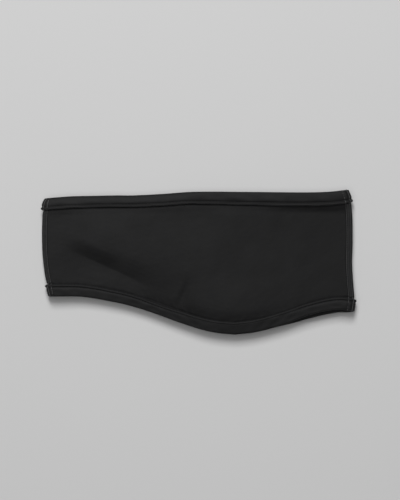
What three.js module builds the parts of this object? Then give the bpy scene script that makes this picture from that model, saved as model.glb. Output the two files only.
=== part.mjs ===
// Ear warmer headband of black stretch fleece, lying flat on a surface: a loop pressed into two layers.
// Two shaped side panels are sewn together at the front and the back of the head, and a folded strip binds
// the straight top edge and the curved bottom edge. Millimetres; +X runs from the front of the head to the
// back, +Y towards the crown and +Z up from the surface that the band lies on.

import * as THREE from 'three';
import { LoftGeometry } from 'three/addons/geometries/LoftGeometry.js';

// Driving dimensions of the band as it lies, in millimetres.
const BAND_LENGTH = 247; // between the mid-lines of the cloth at the two end folds
const FRONT_HEIGHT = 78.5; // over the forehead
const EAR_HEIGHT = 114; // over the ear, where the band is deepest
const BACK_HEIGHT = 98; // over the nape
const EAR_AT = 151; // from the front fold to the deepest point
const TOP_FALL = 5.2; // how far the top edge falls towards the front
const UNDER_SLIP = 1.9; // how far the under layer shows below the upper one near the back

const PANEL_WALL = 1.5; // brushed fleece
const BINDING_WALL = 1.0; // smooth strip folded over the edge
const BINDING_HEIGHT = 10.3; // from the edge to the strip's sewn rim
const BEND_RADIUS = 1.4; // of the strip where it turns over the edge
const SEWN_GAP = 0.3; // between two pieces that are sewn together
const LOOP_GAP = 5.4; // clear height inside the loop, between the bound edges

const CROWN = 2.0; // how far the cloth over the ear stands above the bound edges
const SETTLE_LENGTH = 9; // over which a panel leaves the level of its bound edge
const STITCH_LINE = 8.0; // from the edge to the sewn line in the binding
const STITCH_GROOVE = 0.4; // depth of that line
const STITCH_GROOVE_HALF = 0.8; // half of its width
const RIM_ROUNDING = 0.4; // of the strip's sewn rim

const FRONT_SEAM_TURN = 46; // degrees round the front fold, from its outermost line up to the seam
const BACK_SEAM_TURN = 77; // the same at the back fold

// How finely the soft forms are faceted.
const RUN_STEPS = 34; // along each layer, between the end folds
const FOLD_STEPS = 10; // round each end fold
const PANEL_ROWS = 9; // across the middle of a panel
const BEND_STEPS = 2; // round each corner of the binding's section
const MERGE_LENGTH = 0.5; // a facet shorter than this joins its neighbour

// The top edge, front to back: how far it lies below its level over the ear, as a share of TOP_FALL.
const TOP_EDGE = [
  { along: 0.0, fall: 1.0 },
  { along: 0.03, fall: 0.88 },
  { along: 0.08, fall: 0.71 },
  { along: 0.13, fall: 0.65 },
  { along: 0.234, fall: 0.56 },
  { along: 0.29, fall: 0.56 },
  { along: 0.39, fall: 0.327 },
  { along: 0.49, fall: 0.01 },
  { along: 0.66, fall: 0.02 },
  { along: 0.83, fall: 0.09 },
  { along: 0.91, fall: 0.06 },
  { along: 0.96, fall: -0.08 },
  { along: 1.0, fall: -0.3 },
];

// The bottom edge from the front fold to the ear: `deep` is 0 at the front's own level and 1 at the ear's.
const FRONT_BOTTOM = [
  { way: 0.0, deep: 0.0 },
  { way: 0.15, deep: 0.0 },
  { way: 0.22, deep: 0.034 },
  { way: 0.3, deep: 0.1 },
  { way: 0.42, deep: 0.224 },
  { way: 0.55, deep: 0.415 },
  { way: 0.68, deep: 0.645 },
  { way: 0.81, deep: 0.853 },
  { way: 0.9, deep: 0.952 },
  { way: 1.0, deep: 1.0 },
];

// The bottom edge from the ear to the back fold: `deep` is 1 at the ear's level and 0 at the back's own.
const BACK_BOTTOM = [
  { way: 0.0, deep: 1.0 },
  { way: 0.16, deep: 0.91 },
  { way: 0.36, deep: 0.67 },
  { way: 0.5, deep: 0.488 },
  { way: 0.63, deep: 0.289 },
  { way: 0.76, deep: 0.118 },
  { way: 0.88, deep: 0.005 },
  { way: 1.0, deep: 0.0 },
];

// How far each end fold draws in along the band, from its bottom to its top, as a share of that end's height.
const FRONT_FOLD = [
  { rise: 0.0, inset: 0.063 },
  { rise: 0.1, inset: 0.046 },
  { rise: 0.22, inset: 0.02 },
  { rise: 0.4, inset: -0.002 },
  { rise: 0.6, inset: -0.01 },
  { rise: 0.83, inset: -0.005 },
  { rise: 0.93, inset: 0.009 },
  { rise: 1.0, inset: 0.027 },
];
const BACK_FOLD = [
  { rise: 0.0, inset: 0.004 },
  { rise: 0.12, inset: -0.006 },
  { rise: 0.22, inset: 0.001 },
  { rise: 0.41, inset: 0.011 },
  { rise: 0.56, inset: 0.006 },
  { rise: 0.78, inset: 0.008 },
  { rise: 0.9, inset: 0.021 },
  { rise: 1.0, inset: 0.052 },
];

// How far the upper layer's bottom edge draws up over the under layer's, as a share of UNDER_SLIP.
const SLIP = [
  { along: 0.0, slip: 0.0 },
  { along: 0.68, slip: 0.0 },
  { along: 0.8, slip: 0.5 },
  { along: 0.9, slip: 1.0 },
  { along: 1.0, slip: 0.9 },
];

// How high the upper layer's crown stands along the band, as a share of CROWN.
const CROWN_LINE = [
  { along: 0.0, crown: 0.1 },
  { along: 0.2, crown: 0.35 },
  { along: 0.45, crown: 0.75 },
  { along: 0.62, crown: 1.0 },
  { along: 0.8, crown: 0.65 },
  { along: 1.0, crown: 0.15 },
];

// The dents of the upper layer. A dent's line is centred at `along` and `rise`, shares of the band's length and
// height, and turned by `turn` degrees. It fades over `half`, a share of BAND_LENGTH, climbs back over `above`
// and `below` its line, shares of EAR_HEIGHT, and is `depth` deep, a share of LOOP_GAP.
const DENTS = [
  // The fold pressed in over the temple.
  { along: 0.205, rise: 0.355, turn: -26, half: 0.17, above: 0.07, below: 0.12, depth: 0.56 },
  // The short crease between that fold and the bottom edge.
  { along: 0.445, rise: 0.235, turn: 71, half: 0.06, above: 0.045, below: 0.045, depth: 0.25 },
  // The dip below the binding at the nape.
  { along: 0.92, rise: 0.83, turn: 3, half: 0.08, above: 0.06, below: 0.12, depth: 0.3 },
];

const { clamp, degToRad, euclideanModulo, lerp, smoothstep } = THREE.MathUtils;

// Levels of the cloth's mid-surface above the surface that the band lies on.
const slotHalf = PANEL_WALL / 2 + SEWN_GAP; // half of the room for a panel inside its binding
const boundHalf = slotHalf + BINDING_WALL; // half of the thickness of a bound edge
const underEdgeLevel = boundHalf;
const underBodyLevel = PANEL_WALL / 2;
const upperEdgeLevel = LOOP_GAP + 3 * boundHalf;

// The way round the loop, along the mid-surface of its bound edges.
const foldRadius = (upperEdgeLevel - underEdgeLevel) / 2;
const quarterFold = (Math.PI / 2) * foldRadius;
const halfLoop = 2 * quarterFold + BAND_LENGTH - 2 * foldRadius;
const loopLength = 2 * halfLoop;
const frontSeam = loopLength - degToRad(FRONT_SEAM_TURN) * foldRadius;
const backSeam = halfLoop + degToRad(BACK_SEAM_TURN) * foldRadius;

// A smooth line through a table's rows: the value of `column` at `at` in the table's first column.
function readTable(rows, column, at) {
  const key = Object.keys(rows[0])[0];
  const last = rows.length - 1;
  const place = clamp(at, rows[0][key], rows[last][key]);
  let i = 0;
  while (i < last - 1 && place > rows[i + 1][key]) i += 1;
  const slopeAt = (j) => {
    const before = rows[Math.max(j - 1, 0)];
    const after = rows[Math.min(j + 1, last)];
    return (after[column] - before[column]) / (after[key] - before[key]);
  };
  const from = rows[i][column];
  const rise = rows[i + 1][column] - from;
  const width = rows[i + 1][key] - rows[i][key];
  const t = (place - rows[i][key]) / width;
  const startRise = slopeAt(i) * width;
  const endRise = slopeAt(i + 1) * width;
  const squared = 3 * rise - 2 * startRise - endRise;
  const cubed = startRise + endRise - 2 * rise;
  return from + t * (startRise + t * (squared + t * cubed));
}

// Where `run`, a way round the loop from the front fold's outermost line and over the under layer first, lies:
// `along` is the share of BAND_LENGTH, and `lift` is -1 on the under layer, 1 on the upper one.
function placeOnLoop(run) {
  const way = euclideanModulo(run, loopLength);
  const side = way > halfLoop ? 1 : -1;
  const fromFront = Math.min(way, loopLength - way);
  const fromBack = halfLoop - fromFront;
  const toFold = Math.min(fromFront, fromBack);
  const turn = Math.min(toFold, quarterFold) / foldRadius;
  const bent = foldRadius * (1 - Math.cos(turn));
  const inward = (bent + Math.max(toFold - quarterFold, 0)) / BAND_LENGTH;
  return { along: fromFront < fromBack ? inward : 1 - inward, lift: side * Math.sin(turn) };
}

function topEdgeAt(along) {
  return -TOP_FALL * readTable(TOP_EDGE, 'fall', along);
}

function bottomEdgeAt(along, lift) {
  const earAlong = EAR_AT / BAND_LENGTH;
  const inFront = along < earAlong;
  const endLevel = inFront ? topEdgeAt(0) - FRONT_HEIGHT : topEdgeAt(1) - BACK_HEIGHT;
  const deep = inFront
    ? readTable(FRONT_BOTTOM, 'deep', along / earAlong)
    : readTable(BACK_BOTTOM, 'deep', (along - earAlong) / (1 - earAlong));
  const drawnUp = (UNDER_SLIP * readTable(SLIP, 'slip', along) * (1 + lift)) / 2;
  return lerp(endLevel, -EAR_HEIGHT, deep) + drawnUp;
}

function heightAt(along, lift) {
  return topEdgeAt(along) - bottomEdgeAt(along, lift);
}

// 1 on a dent's line and 0 where it ends.
function bell(share) {
  return (1 - Math.min(share * share, 1)) ** 2;
}

function dentDepthAt(along, rise) {
  let depth = 0;
  for (const dent of DENTS) {
    const turn = degToRad(dent.turn);
    const sideways = (along - dent.along) * BAND_LENGTH;
    const upwards = (rise - dent.rise) * heightAt(along, 1);
    const onLine = sideways * Math.cos(turn) + upwards * Math.sin(turn);
    const offLine = upwards * Math.cos(turn) - sideways * Math.sin(turn);
    const reach = (offLine > 0 ? dent.above : dent.below) * EAR_HEIGHT;
    depth += dent.depth * LOOP_GAP * bell(onLine / (dent.half * BAND_LENGTH)) * bell(offLine / reach);
  }
  return depth;
}

// The height of the mid-surface above the surface that the band lies on.
function levelAt(along, rise, lift) {
  const fromEdge = Math.min(rise, 1 - rise) * heightAt(along, lift);
  const free = smoothstep(fromEdge, BINDING_HEIGHT, BINDING_HEIGHT + SETTLE_LENGTH);
  const crown = CROWN * readTable(CROWN_LINE, 'crown', along) * 4 * rise * (1 - rise);
  const under = lerp(underEdgeLevel, underBodyLevel, free);
  const upper = upperEdgeLevel + free * (crown - dentDepthAt(along, rise));
  return (upper + under) / 2 + (lift * (upper - under)) / 2;
}

// A point of the cloth's mid-surface; `rise` is 0 on the bottom edge and 1 on the top edge.
function clothPoint(run, rise) {
  const { along, lift } = placeOnLoop(run);
  const frontLine = readTable(FRONT_FOLD, 'inset', rise) * FRONT_HEIGHT;
  const backLine = BAND_LENGTH - readTable(BACK_FOLD, 'inset', rise) * BACK_HEIGHT;
  return new THREE.Vector3(
    lerp(frontLine, backLine, along),
    lerp(bottomEdgeAt(along, lift), topEdgeAt(along), rise),
    levelAt(along, rise, lift),
  );
}

// The point that lies `offset` out of the loop from the mid-surface.
function clothPointOff(run, rise, offset) {
  const step = MERGE_LENGTH / 2;
  const riseStep = step / EAR_HEIGHT;
  const forwards = clothPoint(run + step, rise).sub(clothPoint(run - step, rise));
  const upwards = clothPoint(run, rise + riseStep).sub(clothPoint(run, rise - riseStep));
  return clothPoint(run, rise).addScaledVector(upwards.cross(forwards).normalize(), offset);
}

// The runs at which the pieces have a cross section, once round the loop.
function loopStations() {
  const stations = [];
  const stretch = halfLoop - 2 * quarterFold;
  for (const start of [0, halfLoop]) {
    for (let i = 0; i < FOLD_STEPS / 2; i += 1) stations.push(start + (quarterFold * i) / (FOLD_STEPS / 2));
    for (let i = 0; i < RUN_STEPS; i += 1) stations.push(start + quarterFold + (stretch * i) / RUN_STEPS);
    for (let i = 0; i < FOLD_STEPS / 2; i += 1) {
      stations.push(start + halfLoop - quarterFold * (1 - i / (FOLD_STEPS / 2)));
    }
  }
  return stations;
}

// The same runs between two seams, with the seams' own.
function stationsBetween(start, end) {
  const stations = loopStations();
  const turns = [-loopLength, 0, loopLength];
  const all = turns.flatMap((turn) => stations.map((run) => run + turn));
  const inside = all.filter((run) => run > start + MERGE_LENGTH && run < end - MERGE_LENGTH);
  return [start, ...inside, end];
}

// A closed sheet between two grids of points, its outer and inner faces. A grid's rows follow each other round
// the loop, and the points in a row run from the bottom edge to the top one.
function sheetGeometry(outside, inside) {
  const lastRow = outside.length - 1;
  const lastPoint = outside[0].length - 1;
  const outer = (i, j) => i * (lastPoint + 1) + j;
  const inner = (i, j) => outer(lastRow + 1 + i, j);
  const indices = [];
  const addFace = (a, b, c, d) => indices.push(a, b, c, a, c, d);
  for (let i = 0; i < lastRow; i += 1) {
    for (let j = 0; j < lastPoint; j += 1) {
      addFace(outer(i, j), outer(i, j + 1), outer(i + 1, j + 1), outer(i + 1, j));
      addFace(inner(i, j), inner(i + 1, j), inner(i + 1, j + 1), inner(i, j + 1));
    }
    addFace(outer(i, 0), outer(i + 1, 0), inner(i + 1, 0), inner(i, 0));
    addFace(outer(i, lastPoint), inner(i, lastPoint), inner(i + 1, lastPoint), outer(i + 1, lastPoint));
  }
  for (let j = 0; j < lastPoint; j += 1) {
    addFace(outer(0, j), inner(0, j), inner(0, j + 1), outer(0, j + 1));
    addFace(outer(lastRow, j), outer(lastRow, j + 1), inner(lastRow, j + 1), inner(lastRow, j));
  }
  const geometry = new THREE.BufferGeometry().setFromPoints([...outside.flat(), ...inside.flat()]);
  geometry.setIndex(indices);
  geometry.computeVertexNormals();
  return geometry;
}

// Where a panel's points lie across the band: its hem inside each binding, and the rows between them.
function panelRises(height) {
  const hem = [BINDING_WALL + SEWN_GAP, BINDING_HEIGHT, BINDING_HEIGHT + SETTLE_LENGTH / 2];
  const bottom = hem.map((distance) => distance / height);
  const top = bottom.map((rise) => 1 - rise).reverse();
  const bodyStart = (BINDING_HEIGHT + SETTLE_LENGTH) / height;
  const bodyRow = (_, i) => lerp(bodyStart, 1 - bodyStart, i / PANEL_ROWS);
  return [...bottom, ...Array.from({ length: PANEL_ROWS + 1 }, bodyRow), ...top];
}

// A panel of one cloth from seam to seam, with its bottom and top edges inside the bindings.
function panelGeometry(start, end) {
  const faceAt = (offset) =>
    stationsBetween(start, end).map((run) => {
      const { along, lift } = placeOnLoop(run);
      return panelRises(heightAt(along, lift)).map((rise) => clothPointOff(run, rise, offset));
    });
  return sheetGeometry(faceAt(PANEL_WALL / 2), faceAt(-PANEL_WALL / 2));
}

// The binding's cross section, anticlockwise: `inward` is the distance from its edge, `offset` the height over
// the mid-surface of the cloth that it holds.
function bindingProfile() {
  const profile = [
    { inward: BINDING_HEIGHT, offset: boundHalf - RIM_ROUNDING },
    { inward: BINDING_HEIGHT - RIM_ROUNDING, offset: boundHalf },
    { inward: STITCH_LINE + STITCH_GROOVE_HALF, offset: boundHalf },
    { inward: STITCH_LINE, offset: boundHalf - STITCH_GROOVE },
    { inward: STITCH_LINE - STITCH_GROOVE_HALF, offset: boundHalf },
  ];
  for (const side of [1, -1]) {
    for (let i = 0; i <= BEND_STEPS; i += 1) {
      const angle = (Math.PI / 2) * (side > 0 ? 1 - i / BEND_STEPS : i / BEND_STEPS);
      profile.push({
        inward: BEND_RADIUS * (1 - Math.cos(angle)),
        offset: side * (boundHalf - BEND_RADIUS * (1 - Math.sin(angle))),
      });
    }
  }
  profile.push(
    { inward: BINDING_HEIGHT, offset: -boundHalf },
    { inward: BINDING_HEIGHT, offset: -slotHalf },
    { inward: BINDING_WALL, offset: -slotHalf },
    { inward: BINDING_WALL, offset: slotHalf },
    { inward: BINDING_HEIGHT, offset: slotHalf },
  );
  return profile;
}

// A strip folded over one edge, all the way round the loop.
function bindingGeometry(onTop) {
  const profile = onTop ? bindingProfile() : bindingProfile().reverse();
  const sections = loopStations().map((run) => {
    const { along, lift } = placeOnLoop(run);
    return profile.map(({ inward, offset }) => {
      const share = inward / heightAt(along, lift);
      return clothPointOff(run, onTop ? 1 - share : share, offset);
    });
  });
  return new LoftGeometry([...sections, sections[0]]);
}

const panelFleece = { color: 0x262628, roughness: 0.95, metalness: 0 };
const bindingKnit = { color: 0x28282a, roughness: 0.85, metalness: 0 };

const headband = new THREE.Group();

function addPiece(name, geometry, finish) {
  const piece = new THREE.Mesh(geometry, new THREE.MeshStandardMaterial(finish));
  piece.name = name;
  headband.add(piece);
}

const seamHalf = SEWN_GAP / 2;
addPiece('near_panel', panelGeometry(backSeam + seamHalf, frontSeam - seamHalf), panelFleece);
addPiece('far_panel', panelGeometry(frontSeam + seamHalf - loopLength, backSeam - seamHalf), panelFleece);
addPiece('top_binding', bindingGeometry(true), bindingKnit);
addPiece('bottom_binding', bindingGeometry(false), bindingKnit);

// The origin is under the middle of the band, on the surface that it lies on.
const box = new THREE.Box3().setFromObject(headband);
const middle = box.getCenter(new THREE.Vector3());
headband.position.set(-middle.x, -middle.y, -box.min.z);

export default headband;
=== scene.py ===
# %% [markdown]
# # An ear warmer headband in black stretch fleece
# The band is one loop of cloth that lies flat, so it is two layers with a soft fold at each end. Two shaped
# panels are sewn together over the forehead and at the nape, and a folded strip binds the top edge and the
# bottom edge. It could be sculpted by hand, but then no seam would follow an edge exactly. Here one rule says
# where every point of the cloth lies, and each piece, seam and stitch asks that rule for its place.

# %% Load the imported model, which fixes the size and the place of everything
import math

import bpy
import numpy as np
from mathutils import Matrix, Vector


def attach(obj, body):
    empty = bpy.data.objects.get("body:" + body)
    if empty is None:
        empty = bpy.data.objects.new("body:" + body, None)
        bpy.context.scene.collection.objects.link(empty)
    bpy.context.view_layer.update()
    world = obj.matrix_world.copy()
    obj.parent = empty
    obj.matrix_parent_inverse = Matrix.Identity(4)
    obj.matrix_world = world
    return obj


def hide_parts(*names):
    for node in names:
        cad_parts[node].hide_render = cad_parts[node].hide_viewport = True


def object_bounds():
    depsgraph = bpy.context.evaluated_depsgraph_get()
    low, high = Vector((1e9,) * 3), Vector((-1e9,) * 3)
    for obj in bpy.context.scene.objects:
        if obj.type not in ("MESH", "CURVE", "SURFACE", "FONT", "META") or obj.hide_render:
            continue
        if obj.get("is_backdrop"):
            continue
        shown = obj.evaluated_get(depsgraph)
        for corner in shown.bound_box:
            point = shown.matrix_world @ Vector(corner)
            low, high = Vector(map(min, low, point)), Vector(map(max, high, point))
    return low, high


MM = 0.001


def add_object(name, data):
    made = bpy.data.objects.new(name, data)
    bpy.context.collection.objects.link(made)
    return made


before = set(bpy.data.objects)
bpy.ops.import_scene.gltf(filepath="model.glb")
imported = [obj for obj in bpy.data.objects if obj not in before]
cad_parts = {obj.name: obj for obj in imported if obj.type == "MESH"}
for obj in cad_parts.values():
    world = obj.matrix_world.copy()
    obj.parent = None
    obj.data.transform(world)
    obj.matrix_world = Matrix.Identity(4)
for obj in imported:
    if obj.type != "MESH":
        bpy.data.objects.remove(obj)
cad_low, cad_high = (np.array(corner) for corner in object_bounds())
print("solids to dress:", sorted(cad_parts), "size in mm:", ((cad_high - cad_low) / MM).round(1))

# %% [markdown]
# ## The camera
# The band is seen from straight above, as on a copy stand. A long lens far away keeps the scale nearly the
# same at the surface and on top of the band. The camera is moved sideways rather than shifted, because a
# lens shift would stay behind in every other view.

# %% A camera that looks straight down
PICTURE_WIDTH = 400
PICTURE_HEIGHT = 500
PIXEL = 0.8 * MM  # on the band
BAND_MIDDLE = (198.5, 262.2)  # the pixel over the middle of the band's box
SCALE_LEVEL = 7 * MM  # the height at which PIXEL holds
CAMERA_DISTANCE = 1.5
SENSOR = 36.0

camera_data = bpy.data.cameras.new("overhead_camera")
camera_data.sensor_width = SENSOR
camera_data.lens = SENSOR * CAMERA_DISTANCE / (PICTURE_HEIGHT * PIXEL)
camera_data.clip_end = 20
camera = add_object("overhead_camera", camera_data)
camera.location = (
    (PICTURE_WIDTH / 2 - BAND_MIDDLE[0]) * PIXEL,
    (BAND_MIDDLE[1] - PICTURE_HEIGHT / 2) * PIXEL,
    SCALE_LEVEL + CAMERA_DISTANCE,
)
bpy.context.scene.camera = camera
print("lens", round(camera_data.lens, 1), "mm")

# %% [markdown]
# ## Floor and light
# The backdrop is a pale grey sheet. One large soft light stands beyond the top edge of the picture, a little
# to the left, so the only clear shadow lies below the band. Its size sets how wide that shadow's soft border
# is: a smaller light would draw a hard line. A second, wide light hangs overhead and keeps the shadow open.
# The world alone could do that too, but light from the horizon would darken the floor all round the band.

# %% Backdrop, two soft lights and a weak light from all round
FLOOR_HALF = 3.0
FLOOR_GREY = (0.60, 0.60, 0.60, 1)
LIGHTS = {
    # place in metres from the band, width and depth in metres, watts
    "window_light": ((-0.15, 1.30, 1.95), (0.8, 1.05), 42),
    "ceiling_light": ((-0.35, 0.0, 3.0), (2.2, 2.2), 28.5),
}
AROUND_STRENGTH = 0.075

floor_mesh = bpy.data.meshes.new("backdrop")
floor_corners = [(x * FLOOR_HALF, y * FLOOR_HALF, 0) for x, y in ((-1, -1), (1, -1), (1, 1), (-1, 1))]
floor_mesh.from_pydata(floor_corners, [], [(0, 1, 2, 3)])
backdrop = add_object("backdrop", floor_mesh)
floor_paint = bpy.data.materials.new("backdrop_paper")
floor_paint.use_nodes = True
floor_shader = floor_paint.node_tree.nodes["Principled BSDF"]
floor_shader.inputs["Base Color"].default_value = FLOOR_GREY
floor_shader.inputs["Roughness"].default_value = 0.9
floor_shader.inputs["Specular IOR Level"].default_value = 0.1
floor_mesh.materials.append(floor_paint)
backdrop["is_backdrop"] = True

for light_name, (place, size, watts) in LIGHTS.items():
    light_data = bpy.data.lights.new(light_name, "AREA")
    light_data.shape = "RECTANGLE"
    light_data.size, light_data.size_y = size
    light_data.energy = watts
    light = add_object(light_name, light_data)
    light.location = place
    light.rotation_euler = (-light.location).to_track_quat("-Z", "Y").to_euler()

world = bpy.data.worlds.new("studio_air")
world.use_nodes = True
surroundings = world.node_tree.nodes["Background"]
surroundings.inputs["Color"].default_value = (1, 1, 1, 1)
surroundings.inputs["Strength"].default_value = AROUND_STRENGTH
bpy.context.scene.world = world
bpy.context.scene.view_settings.view_transform = "Standard"
print("lights:", ", ".join(LIGHTS))

# %% [markdown]
# ## The sizes of the band
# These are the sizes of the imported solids, in metres, with the tables that give the two edges and the two end
# folds. Only the under layer's slip and the turns of the end seams were moved a little after the solids were
# packed. A table holds shares of a size, so the whole outline follows when a size changes. Where a drawing
# would need hundreds of points, a smooth line through ten rows says the same thing.

# %% Sizes and the tables of the outline
BAND_LENGTH = 247 * MM  # between the mid-lines of the cloth at the two end folds
FRONT_HEIGHT = 78.5 * MM
EAR_HEIGHT = 114 * MM
BACK_HEIGHT = 98 * MM
EAR_AT = 151 * MM  # where the bottom edge lies lowest, from the front end
TOP_FALL = 5.2 * MM  # how much lower the top edge lies at the front end
UNDER_SLIP = 3.0 * MM  # how far the under layer shows past the upper one, behind the ear
PANEL_WALL = 1.5 * MM
BINDING_WALL = 1.0 * MM
BINDING_HEIGHT = 10.3 * MM
SEWN_GAP = 0.3 * MM
LOOP_GAP = 5.4 * MM  # the air between the two layers' bindings
CROWN = 2.0 * MM  # how far the upper layer bulges between its bindings
SETTLE_LENGTH = 9 * MM  # the way past a binding's rim over which the cloth settles to its own level
FRONT_SEAM_TURN = math.radians(57)  # how far round its end fold each seam lies
BACK_SEAM_TURN = math.radians(63)

TOP_EDGE = {
    "along": (0.0, 0.03, 0.08, 0.13, 0.234, 0.29, 0.39, 0.49, 0.66, 0.83, 0.91, 0.96, 1.0),
    "fall": (1.0, 0.88, 0.71, 0.65, 0.56, 0.56, 0.327, 0.01, 0.02, 0.09, 0.06, -0.08, -0.3),
}
FRONT_BOTTOM = {
    "way": (0.0, 0.15, 0.22, 0.3, 0.42, 0.55, 0.68, 0.81, 0.9, 1.0),
    "deep": (0.0, 0.0, 0.034, 0.1, 0.224, 0.415, 0.645, 0.853, 0.952, 1.0),
}
BACK_BOTTOM = {
    "way": (0.0, 0.16, 0.36, 0.5, 0.63, 0.76, 0.88, 1.0),
    "deep": (1.0, 0.91, 0.67, 0.488, 0.289, 0.118, 0.005, 0.0),
}
FRONT_FOLD = {
    "rise": (0.0, 0.1, 0.22, 0.4, 0.6, 0.83, 0.93, 1.0),
    "inset": (0.063, 0.046, 0.02, -0.002, -0.01, -0.005, 0.009, 0.027),
}
BACK_FOLD = {
    "rise": (0.0, 0.12, 0.22, 0.41, 0.56, 0.78, 0.9, 1.0),
    "inset": (0.004, -0.006, 0.001, 0.011, 0.006, 0.008, 0.021, 0.052),
}
SLIP = {"along": (0.0, 0.7, 0.77, 0.835, 0.9, 0.95, 1.0), "slip": (0.0, 0.0, 0.25, 0.85, 1.0, 0.85, 0.45)}
CROWN_LINE = {"along": (0.0, 0.2, 0.45, 0.62, 0.8, 1.0), "crown": (0.1, 0.3, 0.5, 0.5, 0.3, 0.1)}

slot_half = PANEL_WALL / 2 + SEWN_GAP
bound_half = slot_half + BINDING_WALL
under_edge_level = bound_half
under_body_level = PANEL_WALL / 2
upper_edge_level = LOOP_GAP + 3 * bound_half
fold_radius = (upper_edge_level - under_edge_level) / 2
quarter_fold = math.pi / 2 * fold_radius
half_loop = 2 * quarter_fold + BAND_LENGTH - 2 * fold_radius
loop_length = 2 * half_loop
front_seam = loop_length - FRONT_SEAM_TURN * fold_radius
back_seam = half_loop + BACK_SEAM_TURN * fold_radius
print("once round the loop:", round(loop_length / MM), "mm")


# %% [markdown]
# ## Where the cloth lies
# A place on the cloth has two numbers: `run`, the way round the loop, and `rise`, from 0 on the bottom edge
# to 1 on the top one. The rule below turns them into a point in space: along the under layer, round the back
# fold, back over the upper layer and round the front fold. With numpy it takes a whole grid at once.

# %% From a place on the cloth to a point in space
def smooth_line(table, at):
    x, y = (np.array(column, float) for column in table.values())
    slope = np.empty_like(y)
    slope[1:-1] = (y[2:] - y[:-2]) / (x[2:] - x[:-2])
    slope[0], slope[-1] = np.diff(y)[[0, -1]] / np.diff(x)[[0, -1]]
    at = np.clip(at, x[0], x[-1])
    i = np.clip(np.searchsorted(x, at, side="right") - 1, 0, len(x) - 2)
    width, rise = x[i + 1] - x[i], y[i + 1] - y[i]
    t = (at - x[i]) / width
    first, last = slope[i] * width, slope[i + 1] * width
    return y[i] + t * (first + t * (3 * rise - 2 * first - last + t * (first + last - 2 * rise)))


def smooth_step(value, low, high):
    t = np.clip((value - low) / (high - low), 0, 1)
    return t * t * (3 - 2 * t)


def place_on_loop(run):
    """How far along the band a run lies, from 0 to 1, and its side: -1 on the under layer, 1 on top."""
    way = np.mod(run, loop_length)
    side = np.where(way > half_loop, 1.0, -1.0)
    from_front = np.minimum(way, loop_length - way)
    from_back = half_loop - from_front
    to_fold = np.minimum(from_front, from_back)
    turn = np.minimum(to_fold, quarter_fold) / fold_radius
    bent = fold_radius * (1 - np.cos(turn))
    inward = (bent + np.maximum(to_fold - quarter_fold, 0)) / BAND_LENGTH
    return np.where(from_front < from_back, inward, 1 - inward), side * np.sin(turn)


def top_edge(along):
    return -TOP_FALL * smooth_line(TOP_EDGE, along)


def bottom_edge(along, lift):
    ear = EAR_AT / BAND_LENGTH
    in_front = along < ear
    end_level = np.where(in_front, top_edge(0.0) - FRONT_HEIGHT, top_edge(1.0) - BACK_HEIGHT)
    front_deep = smooth_line(FRONT_BOTTOM, along / ear)
    deep = np.where(in_front, front_deep, smooth_line(BACK_BOTTOM, (along - ear) / (1 - ear)))
    drawn_up = UNDER_SLIP * smooth_line(SLIP, along) * (1 + lift) / 2
    return end_level + (-EAR_HEIGHT - end_level) * deep + drawn_up


def band_height(run):
    along, lift = place_on_loop(run)
    return top_edge(along) - bottom_edge(along, lift)


def plan_place(run, rise):
    """Where a place on the cloth lies as seen from above."""
    along, lift = place_on_loop(run)
    front_line = smooth_line(FRONT_FOLD, rise) * FRONT_HEIGHT
    back_line = BAND_LENGTH - smooth_line(BACK_FOLD, rise) * BACK_HEIGHT
    top, bottom = top_edge(along), bottom_edge(along, lift)
    return front_line + (back_line - front_line) * along, bottom + (top - bottom) * rise


SAMPLES = 2000
every_rise = np.linspace(0, 1, 300)
bound = np.minimum(every_rise, 1 - every_rise) * FRONT_HEIGHT < BINDING_HEIGHT
cloth_half = np.where(bound, bound_half, PANEL_WALL / 2)
left = (plan_place(0.0, every_rise)[0] - cloth_half).min()
right = (plan_place(half_loop, every_rise)[0] + cloth_half).max()
edges = plan_place(np.linspace(half_loop, loop_length, SAMPLES)[:, None], np.array([0.0, 1.0]))[1]
far_edge = plan_place(np.linspace(0, half_loop, SAMPLES), 0.0)[1]
middle = np.array([left + right, min(edges.min(), far_edge.min()) + edges.max()]) / 2
ends = band_height(np.array([0, EAR_AT, half_loop])) / MM
print("height in mm at the front, ear and back:", ends.round(1))

# %% [markdown]
# ## Folds and dents
# The upper layer isn't flat: a fold is pressed in over the temple, the cloth stands up a little over the ear,
# and a crease shows where the band was folded in half. A cloth simulation would give folds of its own, not
# these. So each fold is a row of a table, a soft valley along a line, and a negative depth makes a ridge.
# The under layer stands up a little at its bottom edge by the nape, and rests on the ridges of its bindings.

# %% The table of folds, and how high the cloth lies
FOLDS = [
    # place in mm from the band's middle, turn in degrees, half its length, reach above and below its line and
    # depth in mm, sharpness
    (-85, 2, -25.5, 27, 12, 26, 2.6, 0.4),  # the temple fold's start
    (-60, -9.5, -26, 29, 17, 16, 2.1, 0.7),  # its sharper, shallow end
    (-87, 17, -24, 30, 30, 16, -1.5, 0),  # the swell above its start
    (-56, 8.5, -19, 56, 40, 24, -2.4, 0),  # and above all of it
    (-15, -13, -6, 38, 44, 46, -1.1, 0),  # the soft swell beside the middle
    (-11.8, -25.5, 67, 17, 5, 6, 1.2, 0.3),  # the short crease towards the bottom edge
    (-4, 24, 88, 30, 14, 16, -0.3, 0),  # the soft ridge where the band was folded in half
    (25, -36, -2, 45, 28, 16, -1.35, 0),  # the swell over the ear
    (-12, 35, -3, 38, 12.5, 48, 1.2, 0),  # the shallow dip below the top binding at the middle
    (-104, 38, -3, 30, 8, 30, 1.0, 0.2),  # another near the forehead
    (96, 38.7, -1, 64, 10.5, 78, 2.6, 0.1),  # and the deeper one at the nape
    (84, -2, 38, 30, 12, 12, 0.2, 0),  # a faint crease behind the ear
]
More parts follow.
